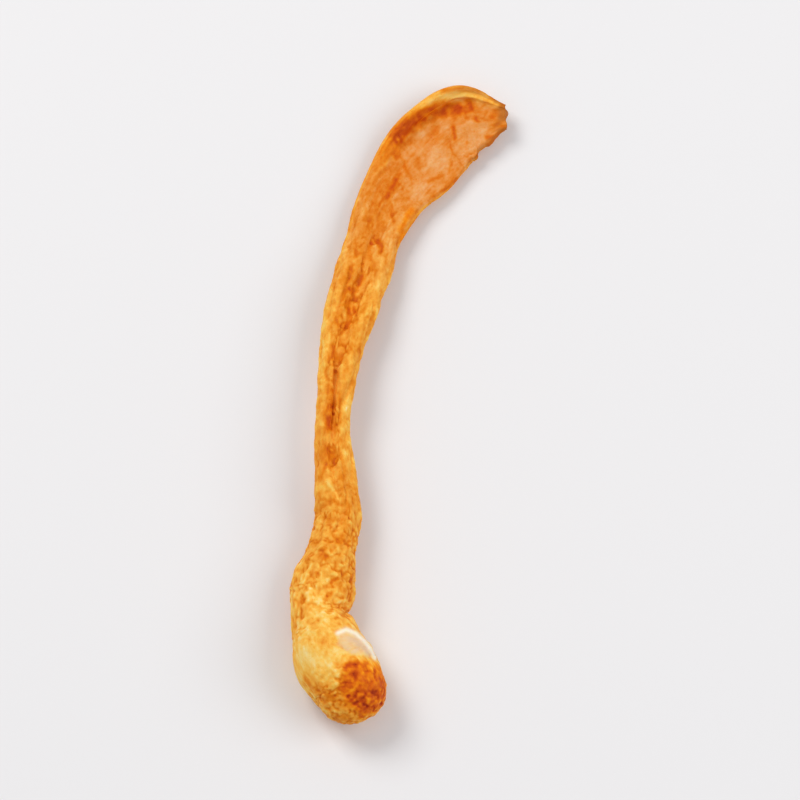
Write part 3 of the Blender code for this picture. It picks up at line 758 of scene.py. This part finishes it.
def stem_masks(strand, wobble, fine_wobble):
    """Where the painted highlights along the stem's rims and the painted shade along its groove lie."""
    s = strand.straight[:, :, 2]
    q = strand.across + 0.22 * wobble + 0.16 * fine_wobble
    stem = ease(CLUB_LENGTH + 2.0, CLUB_LENGTH + 10.0, s) * (1.0 - strand.thin)
    masks = {}
    middle = np.maximum(bell(s, 37.0, 5.5), 0.85 * bell(s, 56.5, 5.0)) + 0.25
    # painted shade along the groove
    masks["groove"] = stem * strand.on_top * bell(q, -0.40, 0.36) * middle
    masks["right_band"] = stem * ease(0.20, 0.55, q)
    left_places = np.maximum(bell(s, 47.0, 6.0), 0.45)
    # painted highlight along the stem's left rim
    masks["left_edge_highlight"] = stem * ease(-0.55, -0.85, q) * left_places * ease(30.0, 40.0, s)
    right_places = np.maximum(bell(s, 37.0, 6.0), 0.6 * bell(s, 56.0, 6.0))
    # painted highlight along the stem's right rim
    masks["right_edge_highlight"] = stem * ease(0.50, 0.75, q) * right_places
    return masks


def fan_masks(strand, wobble, fine_wobble):
    """Where the inside, the rims and the torn edges of the fan lie."""
    s = strand.straight[:, :, 2]
    left = strand.length - s
    q = strand.across
    masks = {}
    masks["fan"] = strand.on_top * strand.thin
    # painted shade along the hollow of the fan's base
    masks["hollow_line"] = strand.on_top * bell(q + 0.3 * wobble, -0.30, 0.40) * bell(s, 66.0, 6.0)
    rim = ease(-0.45, -0.75, q + 0.25 * fine_wobble) * bell(left, 11.0, 5.0)
    masks["left_rim"] = strand.on_top * rim
    frayed = ease(FRAY_LENGTH, 0.5 * FRAY_LENGTH, left) * ease(0.86, 0.97, q + 0.10 * fine_wobble)
    far_rim = ease(-0.93, -0.99, q) * ease(6.0, 3.0, left)
    torn = ease(1.3, 0.2, left + 1.3 * fine_wobble + 0.8 * wobble)
    masks["torn"] = np.maximum(torn, np.maximum(0.7 * frayed, 0.6 * far_rim))
    return masks


def mark_masks(strand, fine_wobble):
    """The single spots, strokes and creases, placed as the camera sees them."""
    straight = strand.straight
    right, up = seen_plane(strand)
    facing = facing_up(strand)
    bent_right = right + 0.30 * fine_wobble
    bent_up = up + 0.30 * noise_field(straight, 0.8, 1.2, 139.0)
    masks = {}
    for name, (line, width) in STROKES.items():
        masks[name] = facing * line_mark(bent_right, bent_up, line, width)
    for name, spots in SPOTS.items():
        found = [spot(bent_right, bent_up, *given) for given in spots]
        masks[name] = facing * np.maximum.reduce(found) * (0.9 + 0.8 * fine_wobble)
    hatch = noise_field(straight[:, :, (2, 1, 0)], 0.50, 2.2, 155.0)
    # painted highlight along the fan's rolled lip
    masks["lip"] = masks["lip"] * strand.thin
    # painted shade in the recess under the fan's rolled lip
    masks["recess_shade"] = masks["recess_shade"] * (1.0 + 1.1 * hatch)
    on_shoulder = ease(-0.05, 0.12, grid_normals(strand.points)[:, :, 2])
    # painted highlight along the blister's upper right rim
    masks["blister_rim_highlight"] = on_shoulder * line_mark(right, up, *STROKES["blister_rim_highlight"])
    blister = spot(bent_right, bent_up, *BLISTER) + 0.30 * fine_wobble
    masks["blister"] = facing * ease(0.20, 0.75, blister) * (0.85 + 0.5 * hatch)
    # painted shade along the single creases
    masks["stroke"] = facing * crease_marks(strand, STROKE_SPREAD, [dark for _, _, _, dark in CREASES])
    return masks


def mottling_and_painted_light(strand, masks):
    """How the skin's lightness wavers: soft patches of its own colour, painted shade in creases and
    hollows, and painted highlight on ridges.
    """
    straight = strand.straight
    mottle_and_painted_light = noise_sum(straight, MOTTLING) + masks["club"] * noise_sum(straight, CLUB_MOTTLING)
    mottle_and_painted_light = mottle_and_painted_light * fade(1.0, 0.7, masks["fan"]) + masks["fan"] * noise_sum(straight, FAN_FIBRES)
    granule = noise_field(straight, 0.60, 0.60, 169.0)
    mottle_and_painted_light += masks["tip"] * (0.10 * granule + 0.06 * ease(0.15, 0.40, granule))
    # painted shade in the relief's hollows and painted highlight on its ridges
    mottle_and_painted_light += HOLLOW_SHARE * np.clip(strand.hollow / HOLLOW_DEPTH, -1.5, 1.0)
    mottle_and_painted_light += CAVITY_SHARE * np.clip(strand.cavity / CAVITY_DEPTH, -1.5, 1.0)
    # painted shade along the cells' creases
    return mottle_and_painted_light - CREASE_SHARE * strand.crease


def colour_masks(strand):
    """How light the skin is at every point, and how much of each other colour it gets."""
    wobble = noise_field(strand.straight, 2.2, 3.0, 131.0)
    fine_wobble = noise_field(strand.straight, 0.8, 1.2, 137.0)
    masks = club_masks(strand, wobble, fine_wobble)
    masks.update(stem_masks(strand, wobble, fine_wobble))
    masks.update(fan_masks(strand, wobble, fine_wobble))
    masks.update(mark_masks(strand, fine_wobble))
    masks = {name: np.clip(values, 0.0, 1.0) for name, values in masks.items()}
    tone = np.full(strand.across.shape, PLAIN_TONE)
    for name, level, share in UNDER_TONES:
        tone += (level - tone) * share * masks[name]
    tone += mottling_and_painted_light(strand, masks)
    for name, level, share in OVER_TONES:
        tone += (level - tone) * share * masks[name]
    kept = {name: masks[name] for name, _, _ in TINTS}
    dull = masks["fan"] * (1.0 - masks["recess_shade"]) * (1.0 - masks["lip"]) * (1.0 - masks["left_rim"])
    kept["dull"] = np.maximum(dull, 0.5 * strand.on_top * bell(strand.straight[:, :, 2], 64.0, 5.0))
    vivid = np.maximum.reduce([masks["tip"], masks["recess_shade"], masks["left_rim"], 0.5 * masks["lip"]])
    kept["vivid"] = np.maximum(vivid, np.maximum(masks["fold"], 0.6 * masks["stroke"]))
    kept["tone"] = np.clip(tone, 0.2, 1.0)
    return kept


def torn_rows(strand):
    """Points across the thickness of the torn end, row by row from the upper to the lower line."""
    end = strand.points[-1]
    lower_line = np.concatenate((end[UPPER_POINTS:], end[:1]))[::-1]
    places = np.linspace(0.0, LOWER_POINTS, UPPER_POINTS + 1)
    known = np.arange(LOWER_POINTS + 1)
    lower = np.stack([np.interp(places, known, lower_line[:, k]) for k in range(3)], axis=1)
    rows = []
    for k in range(1, TORN_ROWS + 1):
        t = k / (TORN_ROWS + 1)
        row = end[: UPPER_POINTS + 1] * (1.0 - t) + lower * t
        bulge = TORN_BULGE * math.sin(math.pi * t)
        for j, place in enumerate(row):
            rough = noise.noise(Vector(place / 0.55)) + 0.5 * noise.noise(Vector(place / 0.25))
            row[j] = place + strand.tangents[-1] * bulge * rough
        rows.append(row[1:-1])
    return rows


def stitch(first, second):
    """Faces between two rows of vertices that share both ends but differ in number."""
    faces = []
    i = 0
    j = 0
    while i < len(first) - 1 or j < len(second) - 1:
        next_first = (i + 1) / (len(first) - 1)
        next_second = (j + 1) / (len(second) - 1)
        if next_first <= next_second:
            corners = (first[i], second[j], first[i + 1])
            i += 1
        else:
            corners = (first[i], second[j], second[j + 1])
            j += 1
        if len(set(corners)) == 3:
            faces.append(corners)
    return faces


def build_strand(strand, masks):
    """The mesh of the strand, with its masks as attributes."""
    rings = len(strand.points)
    vertices = strand.points.reshape(-1, 3).tolist()
    values = {name: mask.reshape(-1).tolist() for name, mask in masks.items()}
    straight = strand.straight.reshape(-1, 3).tolist()
    pole = len(vertices)
    first = strand.points[0].mean(axis=0)
    second = strand.points[1].mean(axis=0)
    vertices.append((first + POLE_REACH * (first - second)).tolist())
    straight.append((0.0, strand.straight[0, :, 1].mean(), -0.05))
    for name, mask in masks.items():
        values[name].append(float(mask[0].mean()))
    faces = []
    for j in range(AROUND):
        following = (j + 1) % AROUND
        faces.append((pole, j, following))
        for i in range(rings - 1):
            low = i * AROUND
            high = low + AROUND
            faces.append((low + following, low + j, high + j, high + following))
    last = (rings - 1) * AROUND
    above = [last + j for j in range(UPPER_POINTS + 1)]
    for row in torn_rows(strand):
        below = [above[0]]
        for j, place in enumerate(row, start=1):
            below.append(len(vertices))
            vertices.append(place.tolist())
            straight.append(straight[last + j])
            for name in values:
                values[name].append(1.0 if name == "torn" else values[name][last + j])
        below.append(above[-1])
        faces.extend(stitch(above, below))
        above = below
    lower = [last] + [last + AROUND - k for k in range(1, LOWER_POINTS + 1)]
    faces.extend(stitch(above, lower))
    mesh = bpy.data.meshes.new("fruiting_body_skin")
    mesh.from_pydata([Vector(v) * MM for v in vertices], [], faces)
    for name, numbers in values.items():
        layer = mesh.attributes.new(name, "FLOAT", "POINT")
        layer.data.foreach_set("value", np.array(numbers, dtype=np.float32))
    layer = mesh.attributes.new("straight", "FLOAT_VECTOR", "POINT")
    layer.data.foreach_set("vector", np.array(straight, dtype=np.float32).reshape(-1))
    mesh.update()
    mesh.shade_smooth()
    piece = bpy.data.objects.new("fruiting_body_skin", mesh)
    bpy.context.scene.collection.objects.link(piece)
    return piece


class SkinNodes:
    """Short names for the shader nodes that the skin needs."""

    def __init__(self, material):
        material.use_nodes = True
        self.tree = material.node_tree
        self.shader = self.tree.nodes["Principled BSDF"]
        self.straight = self.attribute("straight", "Vector")

    def link(self, source, target):
        self.tree.links.new(source, target)

    def set_or_link(self, target, value):
        if hasattr(value, "links"):
            self.link(value, target)
        else:
            target.default_value = value

    def attribute(self, name, output="Fac"):
        node = self.tree.nodes.new("ShaderNodeAttribute")
        node.attribute_name = name
        return node.outputs[output]

    def maths(self, operation, first, second=0.0, third=0.0):
        node = self.tree.nodes.new("ShaderNodeMath")
        node.operation = operation
        self.set_or_link(node.inputs[0], first)
        self.set_or_link(node.inputs[1], second)
        self.set_or_link(node.inputs[2], third)
        return node.outputs[0]

    def span(self, value, low, high, to_low=0.0, to_high=1.0):
        node = self.tree.nodes.new("ShaderNodeMapRange")
        node.interpolation_type = "SMOOTHSTEP"
        self.link(value, node.inputs["Value"])
        node.inputs["From Min"].default_value = low
        node.inputs["From Max"].default_value = high
        node.inputs["To Min"].default_value = to_low
        node.inputs["To Max"].default_value = to_high
        return node.outputs["Result"]

    def noise(self, size, stretch=1.0, detail=2.0, offset=0.0):
        mapping = self.tree.nodes.new("ShaderNodeMapping")
        self.link(self.straight, mapping.inputs["Vector"])
        mapping.inputs["Location"].default_value = (offset, offset, 0.0)
        mapping.inputs["Scale"].default_value = (1.0 / size, 1.0 / size, 1.0 / (size * stretch))
        node = self.tree.nodes.new("ShaderNodeTexNoise")
        self.link(mapping.outputs["Vector"], node.inputs["Vector"])
        node.inputs["Scale"].default_value = 1.0
        node.inputs["Detail"].default_value = detail
        return node.outputs["Fac"]

    def ramp(self, value, tones):
        """The tone whose lightness is the value."""
        node = self.tree.nodes.new("ShaderNodeValToRGB")
        stops = node.color_ramp.elements
        stops.remove(stops[1])
        stops[0].position = lightness(tones[0])
        stops[0].color = seen(*tones[0])
        for tone in tones[1:]:
            stops.new(lightness(tone)).color = seen(*tone)
        self.link(value, node.inputs["Fac"])
        return node.outputs["Color"]

    def mix(self, factor, first, second):
        node = self.tree.nodes.new("ShaderNodeMix")
        node.data_type = "RGBA"
        self.set_or_link(node.inputs["Factor"], factor)
        self.set_or_link(node.inputs["A"], first)
        self.set_or_link(node.inputs["B"], second)
        return node.outputs["Result"]


def skin_material():
    """Dry orange skin: its lightness picks the tone from a row that goes from rust to cream."""
    material = bpy.data.materials.new("dried_skin_look")
    nodes = SkinNodes(material)
    tone = nodes.attribute("tone")
    tone = nodes.maths("MULTIPLY_ADD", nodes.noise(0.30, 1.3, 3.0, 23.0), 0.14, tone)
    tone = nodes.maths("MULTIPLY_ADD", nodes.noise(0.75, 1.4, 3.0, 17.0), 0.12, tone)
    tone = nodes.maths("SUBTRACT", tone, 0.13)
    specks = nodes.span(nodes.noise(0.16, 1.3, 1.0, 41.0), 0.66, 0.76)
    tone = nodes.maths("MULTIPLY_ADD", specks, -0.08, tone)
    colour = nodes.mix(nodes.attribute("dull"), nodes.ramp(tone, SKIN_TONES), nodes.ramp(tone, FAN_TONES))
    colour = nodes.mix(nodes.attribute("vivid"), colour, nodes.ramp(tone, VIVID_TONES))
    for name, tint, share in TINTS:
        factor = nodes.maths("MULTIPLY", nodes.attribute(name), share)
        colour = nodes.mix(factor, colour, seen(*tint))
    nodes.link(colour, nodes.shader.inputs["Base Color"])
    gloss = nodes.span(nodes.noise(0.5, 1.5, 2.0, 53.0), 0.3, 0.7, 0.55, 0.75)
    nodes.link(gloss, nodes.shader.inputs["Roughness"])
    nodes.shader.inputs["Specular IOR Level"].default_value = 0.14
    nodes.shader.inputs["Subsurface Weight"].default_value = 0.10
    nodes.shader.inputs["Subsurface Radius"].default_value = (1.0, 0.35, 0.08)
    nodes.shader.inputs["Subsurface Scale"].default_value = 0.6 * MM
    grain = nodes.maths("ADD", nodes.noise(0.22, 1.4, 4.0, 61.0), nodes.noise(0.12, 2.0, 2.0, 67.0))
    bump = nodes.tree.nodes.new("ShaderNodeBump")
    bump.inputs["Strength"].default_value = 0.5
    bump.inputs["Distance"].default_value = 0.06 * MM
    nodes.link(grain, bump.inputs["Height"])
    nodes.link(bump.outputs["Normal"], nodes.shader.inputs["Normal"])
    return material


def make_floor():
    """A wide pale floor."""
    reach = FLOOR_REACH
    mesh = bpy.data.meshes.new("floor")
    corners = [(-reach, -reach, 0.0), (reach, -reach, 0.0), (reach, reach, 0.0), (-reach, reach, 0.0)]
    mesh.from_pydata(corners, [], [(0, 1, 2, 3)])
    floor = bpy.data.objects.new("floor", mesh)
    bpy.context.scene.collection.objects.link(floor)
    floor.location.z = -FLOOR_GAP
    material = bpy.data.materials.new("pale_floor")
    material.use_nodes = True
    shader = material.node_tree.nodes["Principled BSDF"]
    shader.inputs["Base Color"].default_value = (0.80, 0.79, 0.80, 1.0)
    shader.inputs["Roughness"].default_value = 0.8
    mesh.materials.append(material)


def make_light(name, place, size, power, colour=(1.0, 1.0, 1.0)):
    """A square soft light that looks at the strand's middle."""
    data = bpy.data.lights.new(name, "AREA")
    data.shape = "SQUARE"
    data.size = size
    data.energy = power
    data.color = colour
    light = bpy.data.objects.new(name, data)
    light.location = place
    light.rotation_mode = "QUATERNION"
    light.rotation_quaternion = (-Vector(place)).to_track_quat("-Z", "Y")
    bpy.context.scene.collection.objects.link(light)


def make_camera():
    """A long lens from the front and high up."""
    tilt = math.radians(CAMERA_ELEVATION)
    aim = Vector(CAMERA_AIM) * MM
    back = Vector((0.0, -math.cos(tilt), math.sin(tilt)))
    data = bpy.data.cameras.new("camera")
    data.lens = CAMERA_LENS
    data.sensor_width = 36.0
    data.clip_start = 0.01
    camera = bpy.data.objects.new("camera", data)
    camera.location = aim + back * CAMERA_DISTANCE * MM
    camera.rotation_mode = "QUATERNION"
    camera.rotation_quaternion = (-back).to_track_quat("-Z", "Y")
    bpy.context.scene.collection.objects.link(camera)
    bpy.context.scene.camera = camera


def make_studio():
    """Floor, soft light from the upper left and an even pale surround."""
    make_floor()
    make_light("key", (-0.35, 0.30, 0.55), 0.35, 2.6, (1.0, 0.98, 0.95))
    make_light("fill", (0.50, -0.05, 0.45), 0.50, 1.9, (1.0, 0.99, 0.97))
    world = bpy.data.worlds.new("surround")
    world.use_nodes = True
    background = world.node_tree.nodes["Background"]
    background.inputs["Color"].default_value = (0.95, 0.97, 1.0, 1.0)
    background.inputs["Strength"].default_value = 0.50
    bpy.context.scene.world = world
    bpy.context.scene.view_settings.view_transform = "Standard"


strand = Strand()
raise_relief(strand)
skin = build_strand(strand, colour_masks(strand))
skin.data.materials.append(skin_material())
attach(skin, "root")
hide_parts("fruiting_body")
make_studio()
make_camera()
